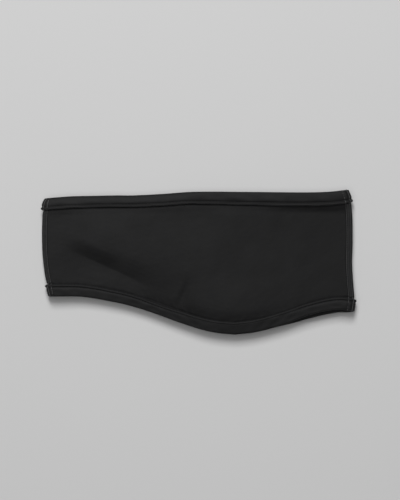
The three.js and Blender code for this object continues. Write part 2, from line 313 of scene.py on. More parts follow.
FALL = {
    # the upper layer lies lower towards the bottom edge: by how many mm, and between which rises it falls
    "along": (0.0, 0.1, 0.18, 0.3, 0.42, 0.5, 0.6, 0.72, 0.82, 1.0),
    "fall": (0.3, 1.2, 1.9, 2.1, 1.5, 1.2, 1.2, 0.9, 0.5, 0.2),
    "low": (0.0, 0.0, 0.0, 0.0, 0.0, -0.10, -0.10, -0.05, 0.0, 0.0),
    "high": (0.8, 0.6, 0.5, 0.5, 0.5, 0.2, 0.16, 0.25, 0.7, 0.9),
}
UNDER_LIFT = {"along": (0.0, 0.68, 0.8, 0.92, 1.0), "lift": (0.0, 0.0, 2.6, 3.8, 3.2)}
LIFTED_UP_TO = 0.45  # the rise at which the under layer's lift has faded out
BINDING_RELIEF = 0.8 * MM  # how far the ridges stand out
PANEL_RELIEF = 0.3 * MM
WAVE_HEIGHT = 0.05 * MM
WAVE_LENGTH = 21 * MM
FADE_FROM = BINDING_HEIGHT - 5 * MM  # between these two distances from an edge the folds fade in
FADE_TO = BINDING_HEIGHT + 6 * MM


def column(table, wanted, key="along"):
    return {key: table[key], wanted: table[wanted]}


def bell(share):
    return (1 - np.minimum(share * share, 1)) ** 2


def fold_depth(x, y):
    """How far all the folds together press the cloth down."""
    depth = 0
    for fold_x, fold_y, turn, half, above, below, deep, sharp in FOLDS:
        sideways, upwards = x - middle[0] - fold_x * MM, y - middle[1] - fold_y * MM
        cosine, sine = math.cos(math.radians(turn)), math.sin(math.radians(turn))
        off_line = upwards * cosine - sideways * sine
        share = np.minimum(np.abs(off_line) / np.where(off_line > 0, above, below) / MM, 1)
        section = sharp * (1 - share) ** 2 + (1 - sharp) * bell(share)
        depth = depth + deep * MM * section * bell((sideways * cosine + upwards * sine) / (half * MM))
    return depth


def ripples(u, v, wavelength, seed, waves=10):
    """Soft waves without a direction, about 1 high."""
    random = np.random.default_rng(seed)
    total = 0
    for _ in range(waves):
        angle, phase = random.uniform(0, math.tau), random.uniform(0, math.tau)
        stretch = random.uniform(0.7, 1.4)
        turn = math.tau * (u * math.cos(angle) + v * math.sin(angle)) * stretch / wavelength
        total = total + np.sin(turn + phase)
    return total / math.sqrt(waves)


def level(run, rise, x, y):
    """How high the middle of the cloth lies over the surface."""
    along, lift = place_on_loop(run)
    height = top_edge(along) - bottom_edge(along, lift)
    from_edge = np.minimum(rise, 1 - rise) * height
    free = smooth_step(from_edge, BINDING_HEIGHT, BINDING_HEIGHT + SETTLE_LENGTH)
    crown = CROWN * smooth_line(CROWN_LINE, along) * 4 * rise * (1 - rise)
    resting_edge, resting_body = under_edge_level + BINDING_RELIEF, under_body_level + PANEL_RELIEF
    under = resting_edge + (resting_body - resting_edge) * free
    under = under + smooth_line(UNDER_LIFT, along) * MM * (1 - smooth_step(rise, 0, LIFTED_UP_TO))
    waves = WAVE_HEIGHT * ripples(x, y, WAVE_LENGTH, seed=4)
    low, high = (smooth_line(column(FALL, name), along) for name in ("low", "high"))
    fallen = smooth_line(column(FALL, "fall"), along) * MM * (1 - smooth_step(rise, low, high))
    loose = smooth_step(from_edge, FADE_FROM, FADE_TO)
    upper = upper_edge_level - fallen + free * (crown + waves) - loose * fold_depth(x, y)
    return (upper + under) / 2 + lift * (upper - under) / 2


def cloth_point(run, rise):
    x, y = plan_place(run, rise)
    return np.stack(np.broadcast_arrays(x, y, level(run, rise, x, y)), -1)


def out_of_cloth(run, rise):
    """The direction out of the loop, straight off the cloth."""
    step = 0.2 * MM
    rise_step = step / EAR_HEIGHT
    forwards = cloth_point(run + step, rise) - cloth_point(run - step, rise)
    upwards = cloth_point(run, rise + rise_step) - cloth_point(run, rise - rise_step)
    out = np.cross(upwards, forwards)
    return out / np.linalg.norm(out, axis=-1, keepdims=True)


to_frame = np.append((cad_low + cad_high)[:2] / 2 - middle, cad_low[2])
print("the rule is moved by", (to_frame / MM).round(2), "mm onto the packed model")


def cloth_surface(run, rise, offset):
    """Points that lie `offset` out of the loop from the middle of the cloth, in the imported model's frame."""
    return cloth_point(run, rise) + out_of_cloth(run, rise) * np.asarray(offset)[..., None] + to_frame


# %% [markdown]
# ## From grids of points to closed cloth
# Each piece of cloth is a stack of closed rings of points: for a panel, out along its face and back along its
# inside, for a binding, once round the folded strip. Neighbouring rings are joined by quads. Solidify could
# thicken a single sheet instead, but here the two faces differ, since only the outer one shows the seams.
# The UV map is in metres of cloth, so that the knit keeps its true scale on every piece.

# %% Rings of points to a mesh
def finished(name, mesh, *materials):
    for material in materials:
        mesh.materials.append(material)
    mesh.polygons.foreach_set("use_smooth", [True] * len(mesh.polygons))
    mesh.update()
    return add_object(name, mesh)


def ring_mesh(name, rings, run, across, joined):
    """rings is (rings, points, 3); run and across place them in the UV map. across has one more place than a
    ring has points, so that it closes; with joined, run has one more than there are rings."""
    count, size = rings.shape[:2]
    i = np.arange(count if joined else count - 1)[:, None]
    j = np.arange(size)[None, :]
    corner_i = [i, i, i + 1, i + 1]
    corner_j = [j, j + 1, j + 1, j]
    quads = np.stack([(a % count) * size + b % size for a, b in zip(corner_i, corner_j)], -1).reshape(-1, 4)
    shape = (i.shape[0], size)
    u = np.stack([np.broadcast_to(run[a], shape) for a in corner_i], -1).reshape(-1)
    v = np.stack([np.broadcast_to(across[b], shape) for b in corner_j], -1).reshape(-1)
    if not joined:
        k = np.arange(size // 2 - 1)
        start_cap = np.stack([k, size - 1 - k, size - 2 - k, k + 1], -1)
        end_cap = start_cap[:, ::-1] + (count - 1) * size
        caps = np.concatenate([start_cap, end_cap])
        quads = np.concatenate([quads, caps])
        u = np.concatenate([u, run[caps.reshape(-1) // size]])
        v = np.concatenate([v, across[caps.reshape(-1) % size]])
    mesh = bpy.data.meshes.new(name)
    mesh.vertices.add(count * size)
    mesh.vertices.foreach_set("co", rings.reshape(-1))
    mesh.loops.add(quads.size)
    mesh.loops.foreach_set("vertex_index", quads.reshape(-1))
    mesh.polygons.add(len(quads))
    mesh.polygons.foreach_set("loop_start", np.arange(0, quads.size, 4))
    mesh.update(calc_edges=True)
    uv = mesh.uv_layers.new(name="cloth")
    uv.data.foreach_set("uv", np.stack([u, v], -1).reshape(-1))
    mesh.validate()
    return mesh


# %% [markdown]
# ## The cloth's finish
# Outside, stretch fleece is a fine smooth knit: rows of tiny V-shaped loops, about 0.8 mm wide, that only
# show as a faint grain from a distance. Inside it is brushed to a soft pile. Both are black, so nearly all
# that the eye reads is form, a weak sheen from the fibres and the slight unevenness of the dye. On top of
# that, painted light: the black is painted a little lighter towards the forehead end and darker towards the
# nape. The knit is drawn by the UV map, which is in metres, as a height for the Bump node, since modelling
# every loop would need millions of faces. Constants sit on the shader's own sockets.

# %% Helpers that chain shader nodes
def add_node(tree, kind, links=None, **settings):
    """Adds a node; links gives its inputs, each as a socket or as a plain value."""
    made = tree.nodes.new(kind)
    for key_name, value in settings.items():
        setattr(made, key_name, value)
    for socket, value in (links or {}).items():
        if isinstance(value, bpy.types.NodeSocket):
            tree.links.new(value, made.inputs[socket])
        else:
            made.inputs[socket].default_value = value
    return made


class Weaver:
    """Builds one material; its place is the point on the cloth, in metres."""

    def __init__(self, name):
        self.material = bpy.data.materials.new(name)
        self.material.use_nodes = True
        self.tree = self.material.node_tree
        self.shader = self.tree.nodes["Principled BSDF"]
        self.place = add_node(self.tree, "ShaderNodeTexCoord").outputs["Object"]

    def node(self, kind, *inputs, **settings):
        return add_node(self.tree, kind, dict(enumerate(inputs)), **settings).outputs[0]

    def math(self, operation, *inputs):
        return self.node("ShaderNodeMath", *inputs, operation=operation)

    def weighted(self, *terms):
        """Adds up terms of a socket and its weight."""
        parts = [self.math("MULTIPLY", value, weight) for value, weight in terms]
        total = parts[0]
        for part in parts[1:]:
            total = self.math("ADD", total, part)
        return total

    def noise(self, scale, detail=2.0, roughness=0.5):
        links = {"Vector": self.place, "Scale": scale, "Detail": detail, "Roughness": roughness}
        return add_node(self.tree, "ShaderNodeTexNoise", links).outputs["Fac"]

    def range(self, value, *limits):
        return self.node("ShaderNodeMapRange", value, *limits)

    def colour(self, value, first, second, low=0.3, high=0.7):
        """From the first colour to the second one as the value goes from low to high."""
        links = {"Factor": self.range(value, low, high, 0, 1), "A": first, "B": second}
        mixed = add_node(self.tree, "ShaderNodeMix", links, data_type="RGBA").outputs["Result"]
        self.tree.links.new(mixed, self.shader.inputs["Base Color"])

    def bump(self, height, distance):
        links = {"Strength": 1.0, "Distance": distance, "Height": height}
        bumped = add_node(self.tree, "ShaderNodeBump", links)
        self.tree.links.new(bumped.outputs["Normal"], self.shader.inputs["Normal"])

    def finish(self, roughness, gloss, sheen=0.05, sheen_roughness=0.3):
        values = {"Roughness": roughness, "Specular IOR Level": gloss, "Sheen Weight": sheen,
                  "Sheen Roughness": sheen_roughness, "Sheen Tint": FIBRE_SHEEN}
        for socket, value in values.items():
            self.shader.inputs[socket].default_value = value
        return self.material


LOOP_SLANT = 1.3  # how steeply the two legs of a loop's V run
WALE_ROUNDNESS = 0.6
LOOP_SHARE = 0.7  # how much of the knit's height comes from the loops, the rest from their columns


def knit_height(w, wale, course):
    """The height of a plain knit of V-shaped loops, `wale` wide and `course` tall, from the UV map."""
    uv = w.node("ShaderNodeUVMap", uv_map="cloth")
    apart = add_node(w.tree, "ShaderNodeSeparateXYZ", {0: uv})
    across = w.math("FRACT", w.math("DIVIDE", apart.outputs[0], wale))
    off_centre = w.math("ABSOLUTE", w.math("SUBTRACT", across, 0.5))
    row = w.math("DIVIDE", apart.outputs[1], course)
    slanted = w.math("ADD", row, w.math("MULTIPLY", off_centre, LOOP_SLANT))
    loop = w.math("ABSOLUTE", w.math("SINE", w.math("MULTIPLY", slanted, math.pi)))
    raised = w.math("ADD", w.math("MULTIPLY", loop, LOOP_SHARE), 1 - LOOP_SHARE)
    groove = w.math("SINE", w.math("MULTIPLY", across, math.pi))
    return w.math("MULTIPLY", w.math("POWER", groove, WALE_ROUNDNESS), raised)


# %% Knit face, brushed inside, binding and thread
BLACK = (0.0058, 0.0058, 0.0060, 1)
# the lighter black, for the dye's clouds and specks and for the painted light towards the front end
BLACK_MOTTLE_AND_PAINTED_LIGHT = (0.0102, 0.0102, 0.0105, 1)
BLACK_PILE = (0.021, 0.021, 0.022, 1)
FIBRE_SHEEN = (0.55, 0.56, 0.6, 1)
THREADS = {
    # dark and light of the fibres, roughness, gloss
    "spun_needle_thread": ((0.009, 0.009, 0.0093, 1), (0.018, 0.018, 0.0186, 1), 0.6, 0.3),
    "bulked_cover_thread": ((0.013, 0.013, 0.0133, 1), (0.026, 0.026, 0.0266, 1), 0.7, 0.4),
    # the end seams' thread: its light colour is partly the thread's own, partly painted sheen
    "glossy_end_seam_thread": ((0.055, 0.055, 0.056, 1), (0.100, 0.100, 0.102, 1), 0.6, 0.5),
}


def mottled_black_and_painted_light(w, fuzz, clouds, cloud_share, painted_light):
    """Black with faint clouds and specks, plus a painted light ramp: lighter at the front end, darker at the
    back.
    """
    dye = w.weighted((w.noise(scale=clouds, detail=3), cloud_share), (fuzz, 1 - cloud_share))
    # painted light: a ramp along the band paints the front end lighter and the back end darker
    painted_light_ramp = w.range(w.node("ShaderNodeSeparateXYZ", w.place), -BAND_LENGTH / 2, BAND_LENGTH / 2, *painted_light)
    w.colour(w.math("ADD", dye, painted_light_ramp), BLACK, BLACK_MOTTLE_AND_PAINTED_LIGHT)


def fleece_face():
    w = Weaver("fleece_knit_face")
    fuzz = w.noise(scale=2600, roughness=0.7)
    # painted light: the last two values paint the front end lighter and the back end darker
    mottled_black_and_painted_light(w, fuzz, clouds=45, cloud_share=0.6, painted_light=(0.10, -0.16))
    knit = knit_height(w, wale=0.85 * MM, course=0.62 * MM)
    soft = w.noise(scale=700, detail=3)
    w.bump(w.weighted((knit, 0.55), (fuzz, 0.5), (soft, 1)), distance=0.11 * MM)
    return w.finish(roughness=0.68, gloss=0.18)


def fleece_inside():
    w = Weaver("fleece_brushed_inside")
    pile = w.noise(scale=900, detail=4, roughness=0.7)
    tufts = w.noise(scale=260, detail=3)
    lie = w.weighted((pile, 0.5), (tufts, 0.5))
    w.colour(lie, BLACK, BLACK_PILE, low=0.35, high=0.65)
    w.bump(lie, distance=0.5 * MM)
    return w.finish(roughness=0.97, gloss=0.1, sheen=0.08, sheen_roughness=0.6)


def binding_cloth():
    w = Weaver("binding_smooth_knit")
    fuzz = w.noise(scale=2900, roughness=0.65)
    # painted light: the last two values paint the front end lighter and the back end darker
    mottled_black_and_painted_light(w, fuzz, clouds=60, cloud_share=0.5, painted_light=(0.08, -0.14))
    knit = knit_height(w, wale=0.7 * MM, course=0.55 * MM)
    w.bump(w.weighted((knit, 0.7), (fuzz, 0.5)), distance=0.09 * MM)
    return w.finish(roughness=0.63, gloss=0.215)


def thread_finish(name, dark, light, roughness, gloss):
    w = Weaver(name)
    fibres = w.noise(scale=5200)
    w.colour(fibres, dark, light)
    w.bump(fibres, distance=0.05 * MM)
    return w.finish(roughness, gloss, sheen_roughness=0.4)


face_finish, inside_finish, binding_finish = fleece_face(), fleece_inside(), binding_cloth()
needle_thread, cover_thread, painted_sheen_thread = (thread_finish(name, *look) for name, look in THREADS.items())
print("finishes:", face_finish.name, inside_finish.name, binding_finish.name, *THREADS)

# %% [markdown]
# ## The two panels
# The seam that joins two panels of such a band is flat: the two edges lie against each other, twin needles
# sew a row down each side, and a cover thread runs back and forth between the rows. The cloth sinks under the
# needle rows and stands up between them, so that relief is built into the panel's outer face. Along the
# bindings the cloth is drawn in by the stitches and puckers a little.

# %% The relief of a panel's outer face, and where its points lie
END_SEAMS = {
    # where the seam lies, and how far from it each of its two needle rows lies
    "front": (front_seam, 1.2 * MM),
    "back": (back_seam, 1.7 * MM),
}
SEAM_SWELL = 0.5 * MM  # how far the cloth stands up between the rows
SWELL_REACH = 1.05  # as a share of the way to a row
SEAM_DIP = 0.5 * MM  # how far it sinks under a row
DIP_REACH = 0.75 * MM
JOIN_DIP = 0.5 * SEAM_DIP  # and where the two edges meet
JOIN_REACH = 0.3 * MM
PUCKER = 0.12 * MM
PUCKER_LENGTH = 7.5 * MM
PUCKER_FADE = 3.2 * MM
PUCKER_SWAY = 2.2  # how unevenly the puckers follow each other
TOP_SHIFT = 3.1  # the turn by which the top binding's puckers are shifted
SEWN_IN = 0.42 * MM  # how far the cloth is pressed in beside a binding's rim
SEWN_IN_FADE = 0.7 * MM
FINE_WAVE = 0.035 * MM


def seam_relief(run):
    """How the outer face stands near the end seams."""
    relief = 0
    for seam, to_row in END_SEAMS.values():
        off = np.abs(np.mod(run - seam + loop_length / 2, loop_length) - loop_length / 2)
        relief = relief + SEAM_SWELL * bell(off / (to_row * SWELL_REACH))
        relief = relief - SEAM_DIP * bell((off - to_row) / DIP_REACH) - JOIN_DIP * bell(off / JOIN_REACH)
    return relief


def panel_relief(run, rise):
    """How a panel's outer face stands off its plain level."""
    height = band_height(run)
    past_rim = np.clip(np.minimum(rise, 1 - rise) * height - BINDING_HEIGHT, 0, None)
    shift = np.where(rise > 0.5, TOP_SHIFT, 0.0)
    uneven = ripples(run, rise * height, wavelength=24 * MM, seed=9)
    turn = math.tau * run / PUCKER_LENGTH + shift + PUCKER_SWAY * uneven
    puckers = PUCKER * np.exp(-past_rim / PUCKER_FADE) * np.sin(turn)
    puckers = puckers - SEWN_IN * np.exp(-past_rim / SEWN_IN_FADE)
    fine_waves = FINE_WAVE * ripples(run, rise * height, wavelength=5 * MM, seed=21)
    return seam_relief(run) + puckers + fine_waves


def spaced(start, end, fine, coarse, border):
    """Places from start to end, `fine` apart near both ends and `coarse` apart between."""
    head = np.arange(start, start + border, fine)
    tail = np.arange(end, end - border, -fine)[::-1]
    inner = np.linspace(head[-1], tail[0], int((tail[0] - head[-1]) / coarse) + 2)[1:-1]
    return np.concatenate([head, inner, tail])


END_BORDER = 7.5 * MM  # the mesh is finer over this length beside each end seam
END_FACES = 0.33 * MM
EDGE_BORDER = 15 * MM  # and over this height by each binding
FOLD_STATIONS = 34
NAP = 0.05 * MM


def panel(name, start, end, coarse, rows, fine):
    """A panel from start to end; its faces are `coarse` long, and `fine` wide by its edges."""
    run = spaced(start, end, END_FACES, coarse, END_BORDER)
    if start < 0:
        fold = half_loop + quarter_fold * np.linspace(-1, 1, FOLD_STATIONS)[:-1]
        run = np.unique(np.concatenate([run[(run < fold[0]) | (run > fold[-1])], fold]))
    hem = BINDING_WALL + SEWN_GAP
    height = band_height(run)[:, None]
    border = np.arange(hem, EDGE_BORDER, fine)
    inner = np.linspace(0, 1, rows - 2 * len(border) + 2)[1:-1]
    from_bottom = border + 0 * height
    across_middle = border[-1] + inner * (height - 2 * border[-1])
    rise = np.concatenate([from_bottom, across_middle, (height - from_bottom)[:, ::-1]], 1) / height
    run_grid = np.broadcast_to(run[:, None], rise.shape)
    outside = cloth_surface(run_grid, rise, PANEL_WALL / 2 + panel_relief(run_grid, rise))
    nap = NAP * ripples(run_grid, rise * height, wavelength=3.5 * MM, seed=33)
    inside = cloth_surface(run_grid, rise, -PANEL_WALL / 2 + nap)
    rings = np.concatenate([outside, inside[:, ::-1]], 1)
    across = np.linspace(0, EAR_HEIGHT, rows)
    across = np.concatenate([across, across[::-1] + EAR_HEIGHT, across[:1]])
    mesh = ring_mesh(name, rings, run, across, joined=False)
    loops = np.zeros(len(mesh.polygons) * 4, int)
    mesh.loops.foreach_get("vertex_index", loops)
    is_inside = (loops.reshape(-1, 4) % (2 * rows)).min(1) >= rows
    mesh.polygons.foreach_set("material_index", is_inside.astype(int))
    cut = float(np.trapz(height[:, 0] - 2 * hem, run))
    flat = (float(height.max() - 2 * hem), float(run[-1] - run[0]))
    in_mm = [round(side / MM) for side in flat]
    print(name, "faces", len(mesh.polygons), "cut in mm", in_mm, "area", round(cut, 4))
    return finished(name, mesh, face_finish, inside_finish), flat, cut


# %% Near and far panel
seam_half = SEWN_GAP / 4
near_panel, near_cut, near_area = panel(
    "near_fleece", back_seam + seam_half, front_seam - seam_half, coarse=1.05 * MM, rows=144, fine=0.42 * MM)
far_panel, far_cut, far_area = panel(
    "far_fleece", front_seam + seam_half - loop_length, back_seam - seam_half,
    coarse=1.6 * MM, rows=100, fine=0.7 * MM)

# %% [markdown]
# ## The bindings
# A strip is folded over each edge and sewn down with twin needles near its rim, so it shows two fine grooves
# with a ridge between them, and a soft roll at the edge. A bevelled curve could sweep such a section along a
# path, but the strip has to turn over with the cloth at the end folds, so its section is set off the same
# rule as the panels. The height of its face is a function of the distance from the edge.

# %% The section of a binding, from the edge over the face to the rim
ROW_TO_RIM = 2.6 * MM
SECOND_ROW = 0.76  # the second needle row, as a share of the way from the first to the rim
STITCH_PITCH = 2.7 * MM
FACE = {
    # the way over the face, and for it how far in it lies, where 1 is the first needle row and 2 the rim, its
    # height in mm without the groove, and the groove's share there
    "way": (0, 1, 2, 3, 4, 5, 6, 7, 8, 9, 10, 11, 12, 13),
    "inward": (0.0, 0.03, 0.12, 0.27, 0.46, 0.66, 0.82, 0.93, 1.0, 1.14, 1.42, 1.66, 1.86, 2.0),
    "height": (0.0, 1.20, 1.98, 2.15, 2.22, 2.26, 2.28, 2.27, 2.26, 2.32, 2.58, 2.44, 1.64, 0.72),
    "groove": (0.0, 0.0, 0.0, 0.0, 0.0, 0.04, 0.25, 0.65, 1.0, 0.45, 0.0, 0.0, 0.0, 0.0),
}
TOP_STRIP = {
    # where along the band, and for it the first needle row in mm from the edge, the groove's depth in mm and
    # how far the face leans over towards the edge
    "along": (0.0, 0.1, 0.4, 0.47, 0.53, 0.75, 0.9, 1.0),
    "row": (7.3, 7.3, 7.3, 7.4, 7.9, 8.5, 8.3, 8.2),
    "groove": (0.65, 0.65, 0.65, 0.7, 0.85, 0.9, 0.9, 0.85),
    "lean": (0.8, 0.8, 0.8, 0.7, 0.1, 0.05, 0.0, 0.0),
    "curl": 2.8,
}
BOTTOM_STRIP = {
    "along": (0.0, 0.28, 0.36, 0.46, 0.6, 0.7, 0.78, 0.86, 1.0),
    "row": (7.4, 7.3, 6.6, 7.4, 7.7, 8.2, 8.3, 7.6, 7.4),
    "groove": (0.7, 0.7, 0.5, 0.2, 0.08, 0.08, 0.15, 0.42, 0.5),
    "lean": (0.55, 0.55, 0.5, 0.5, 0.55, 0.55, 0.5, 0.3, 0.2),
    "curl": 0.9,
}
PLAIN_STRIP = {"row": 7.2, "groove": 0.5, "lean": 0.0}  # on the under layer
SLOT_PINCH = 0.35 * MM  # how much closer the strip grips the panel at its rim
SLOT_STEP = 2 * MM  # from the slot's bottom to where it starts to narrow
LEG_SHARE = 0.4  # how much of the face's unevenness the inner leg has
LEG_FLATNESS = 0.5  # 0 follows the face, 1 is flat
STITCH_DRAW = 0.06 * MM  # how far the strip is drawn in between two stitches
DRAW_REACH = 1.3 * MM
STRIP_WAVE = 0.11 * MM
SEAM_ON_STRIP = 0.8  # an end seam's relief on a binding, as a share of that on a panel
BINDING_STATIONS = 760


def strip_value(strip, wanted, run):
    """A value of a binding's table; on the under layer the strip is plain."""
    along, lift = place_on_loop(run)
    plain = PLAIN_STRIP[wanted]
    return plain + (smooth_line(column(strip, wanted), along) - plain) * (1 + lift) / 2


def face_point(way, row_inward, groove):
    """How far in, and how high over the middle of the cloth, the face lies at a way over it."""
    values = (smooth_line(column(FACE, name, "way"), way) for name in ("inward", "height", "groove"))
    share, height, grooved = values
    inward = np.minimum(share, 1) * row_inward + np.maximum(share - 1, 0) * ROW_TO_RIM
    return inward, (height - groove * grooved) * MM


def leg_height(face_height):
    """The inner leg follows the face, but flatter."""
    flatter = (1 - LEG_FLATNESS) * face_height + LEG_FLATNESS * bound_half
    return np.minimum(face_height, flatter)


def binding_section(row_inward, groove):
    """Rings of inward, offset and share of unevenness: face, inner leg and slot, for every station."""
    face_way = np.concatenate([np.linspace(13, 6.5, 24), np.linspace(6, 1.6, 11), np.linspace(1.3, 0, 5)])
    back_way = np.concatenate([np.linspace(0.35, 1.3, 4), np.linspace(1.8, 6, 7), np.linspace(6.5, 13, 14)])
    stations = row_inward[:, None]
    front_in, front_height = face_point(face_way[None, :], stations, groove[:, None])
    back_in, back_height = face_point(back_way[None, :], stations, PLAIN_STRIP["groove"])
    leg_offset = np.broadcast_to(-leg_height(back_height), back_in.shape)
    rim = stations + ROW_TO_RIM
    slot_in = np.concatenate([rim, rim * 0 + BINDING_WALL + SLOT_STEP, rim * 0 + BINDING_WALL], 1)
    pinch = np.broadcast_to([slot_half - SLOT_PINCH, slot_half, slot_half], slot_in.shape)
    inward = np.concatenate([front_in, back_in, slot_in, slot_in[:, ::-1]], 1)
    offset = np.concatenate([front_height, leg_offset, -pinch, pinch[:, ::-1]], 1)
    leg, slot = LEG_SHARE * np.ones(len(back_way)), np.zeros(2 * slot_in.shape[1])
    on_face = np.concatenate([np.ones(len(face_way)), leg, slot])
    return inward, offset, on_face


def binding_unevenness(run, inward, row_inward, seed):
    """Stitches draw the strip in at every pitch, and the strip has soft waves of its own."""
    second = row_inward + SECOND_ROW * ROW_TO_RIM
    near_rows = sum(bell((inward - row) / DRAW_REACH) for row in (row_inward, second))
    drawn = STITCH_DRAW * near_rows * np.cos(math.tau * run / STITCH_PITCH)
    waves = STRIP_WAVE * ripples(run, inward * 2, wavelength=13 * MM, seed=seed)
    return drawn + waves * smooth_step(inward, 0, 2.5 * MM)


def edge_lean(strip, run, inward, row_inward):
    """By which share the face lies lower where the strip rolls over the edge."""
    away = np.clip(1 - inward / row_inward, 0, 1) ** strip["curl"]
    return strip_value(strip, "lean", run) * away


def binding(name, on_top, strip, seed):
    run = np.linspace(0, loop_length, BINDING_STATIONS, endpoint=False)
    row_inward = strip_value(strip, "row", run) * MM
    inward, offset, on_face = binding_section(row_inward, strip_value(strip, "groove", run))
    run_grid = np.broadcast_to(run[:, None], inward.shape)
    share = inward / band_height(run)[:, None]
    rise = 1 - share if on_top else share
    waves = binding_unevenness(run_grid, inward, row_inward[:, None], seed)
    uneven = on_face * (waves + SEAM_ON_STRIP * seam_relief(run_grid))
    offset = offset * (1 - (on_face == 1) * edge_lean(strip, run_grid, inward, row_inward[:, None]))
    rings = cloth_surface(run_grid, rise, offset + np.sign(offset) * uneven)
    girth = np.hypot(np.diff(inward[0], append=inward[0, :1]), np.diff(offset[0], append=offset[0, :1]))
    across = np.concatenate([[0], np.cumsum(girth)])
    if not on_top:
        rings = rings[:, ::-1]
        across = across[::-1]
    mesh = ring_mesh(name, rings, np.append(run, loop_length), across, joined=True)
    print(name, "faces", len(mesh.polygons), "strip width in mm", round(across.max() / 2 / MM, 1))
    return finished(name, mesh, binding_finish), float(across.max() / 2)


top_binding, top_width = binding("top_bound_edge", True, TOP_STRIP, seed=51)
bottom_binding, bottom_width = binding("bottom_bound_edge", False, BOTTOM_STRIP, seed=52)

# %% [markdown]
# ## Stitches
# Seen from close by, the seams are rows of short raised stitches. Each row is one long path on the cloth that
# carries the direction out of the cloth with it. A Geometry Nodes tree cuts the path into pitches and puts
# one small bent thread on each, turned along the path and away from the cloth. Placing hundreds of objects by
# hand would give the same picture, but the tree keeps pitch, length and thickness as named inputs.

# %% A tree that sews stitches along a path
def new_tree(name, *numbers):
    """A tree that takes a path, the named numbers and a finish, and gives a mesh."""
    tree = bpy.data.node_groups.new(name, "GeometryNodeTree")
    kinds = {"Geometry": "Geometry", **dict.fromkeys(numbers, "Float"), "Finish": "Material"}
    for label, kind in kinds.items():
        tree.interface.new_socket(label, in_out="INPUT", socket_type="NodeSocket" + kind)
    tree.interface.new_socket("Geometry", in_out="OUTPUT", socket_type="NodeSocketGeometry")
    tree.is_modifier = True
    given = tree.nodes.new("NodeGroupInput").outputs
    return tree, given, tree.nodes.new("NodeGroupOutput").inputs["Geometry"]


def times(tree, socket, factor):
    return add_node(tree, "ShaderNodeMath", {0: socket, 1: factor}, operation="MULTIPLY").outputs[0]


def round_thread(tree, curve, radius, sides):
    """A closed tube along a curve."""
    ring = add_node(tree, "GeometryNodeCurvePrimitiveCircle", {"Resolution": sides, "Radius": radius})
    links = {"Curve": curve, "Profile Curve": ring.outputs[0], "Fill Caps": True}
    return add_node(tree, "GeometryNodeCurveToMesh", links).outputs[0]


def hand_out(tree, geometry, finish, result):
    """Makes plain mesh of it and gives it its finish."""
    real = add_node(tree, "GeometryNodeRealizeInstances", {"Geometry": geometry})
    dyed = add_node(tree, "GeometryNodeSetMaterial", {"Geometry": real.outputs[0], "Material": finish})
    tree.links.new(dyed.outputs[0], result)
    return tree


def stitch_tree():
    tree, given, result = new_tree("stitch_row", "Pitch", "Stitch Length", "Thread Radius")
    path = add_node(tree, "GeometryNodeMeshToCurve", {"Mesh": given["Geometry"]})
    places = add_node(tree, "GeometryNodeResampleCurve", {
        "Curve": path.outputs[0], "Length": given["Pitch"]}, mode="LENGTH")
    sink = times(tree, given["Thread Radius"], -1.5)
    swell = times(tree, given["Thread Radius"], 2.0)
    start = add_node(tree, "ShaderNodeCombineXYZ", {0: times(tree, given["Stitch Length"], -0.5), 2: sink})
    crest = add_node(tree, "ShaderNodeCombineXYZ", {2: swell})
    end = add_node(tree, "ShaderNodeCombineXYZ", {0: times(tree, given["Stitch Length"], 0.5), 2: sink})
    bend = add_node(tree, "GeometryNodeCurveQuadraticBezier", {
        "Resolution": 6, "Start": start.outputs[0], "Middle": crest.outputs[0], "End": end.outputs[0]})
    stitch = round_thread(tree, bend.outputs[0], given["Thread Radius"], 6)
    tangent = add_node(tree, "GeometryNodeInputTangent")
    out = add_node(tree, "GeometryNodeInputNamedAttribute", {"Name": "out"}, data_type="FLOAT_VECTOR")
    along = add_node(tree, "FunctionNodeAlignRotationToVector", {"Vector": tangent.outputs[0]}, axis="X")
    upright = add_node(tree, "FunctionNodeAlignRotationToVector", {
        "Rotation": along.outputs[0], "Vector": out.outputs["Attribute"]}, axis="Z", pivot_axis="X")
    sewn = add_node(tree, "GeometryNodeInstanceOnPoints", {
        "Points": places.outputs[0], "Instance": stitch, "Rotation": upright.outputs[0]})
    return hand_out(tree, sewn.outputs[0], given["Finish"], result)


def thread_tree():
    tree, given, result = new_tree("laid_thread", "Thread Radius")
    path = add_node(tree, "GeometryNodeMeshToCurve", {"Mesh": given["Geometry"]})
    thread = round_thread(tree, path.outputs[0], given["Thread Radius"], 5)
    return hand_out(tree, thread, given["Finish"], result)


STITCH_ROW, LAID_THREAD = stitch_tree(), thread_tree()


# %% Paths on the cloth, and the plain meshes that the trees make of them
def path_mesh(name, routes):
    """One polyline per route; a route is (points, directions out of the cloth, whether it closes)."""
    points = np.concatenate([route[0] for route in routes])
    outs = np.concatenate([route[1] for route in routes])
    edges, first = [], 0
    for route_points, _, closed in routes:
        count = len(route_points)
        pairs = [(first + k, first + k + 1) for k in range(count - 1)]
        edges += pairs + ([(first + count - 1, first)] if closed else [])
        first += count
    mesh = bpy.data.meshes.new(name)
    mesh.from_pydata(points.tolist(), edges, [])
    mesh.attributes.new("out", "FLOAT_VECTOR", "POINT").data.foreach_set("vector", outs.reshape(-1))
    return add_object(name, mesh)


def grown(name, routes, tree, **values):
    """Runs a tree on the paths and keeps what it makes as a plain mesh object."""
    path = path_mesh(name + "_path", routes)
    modifier = path.modifiers.new("nodes", "NODES")
    modifier.node_group = tree
    for item in tree.interface.items_tree:
        label = item.name.replace(" ", "_")
        if item.in_out == "INPUT" and label in values:
            modifier[item.identifier] = values[label]
    depsgraph = bpy.context.evaluated_depsgraph_get()
    mesh = bpy.data.meshes.new_from_object(path.evaluated_get(depsgraph), depsgraph=depsgraph)
    mesh.name = name
    bpy.data.objects.remove(path)
    mesh.materials.clear()
    print(name, "faces", len(mesh.polygons))
    return finished(name, mesh, values["Finish"])


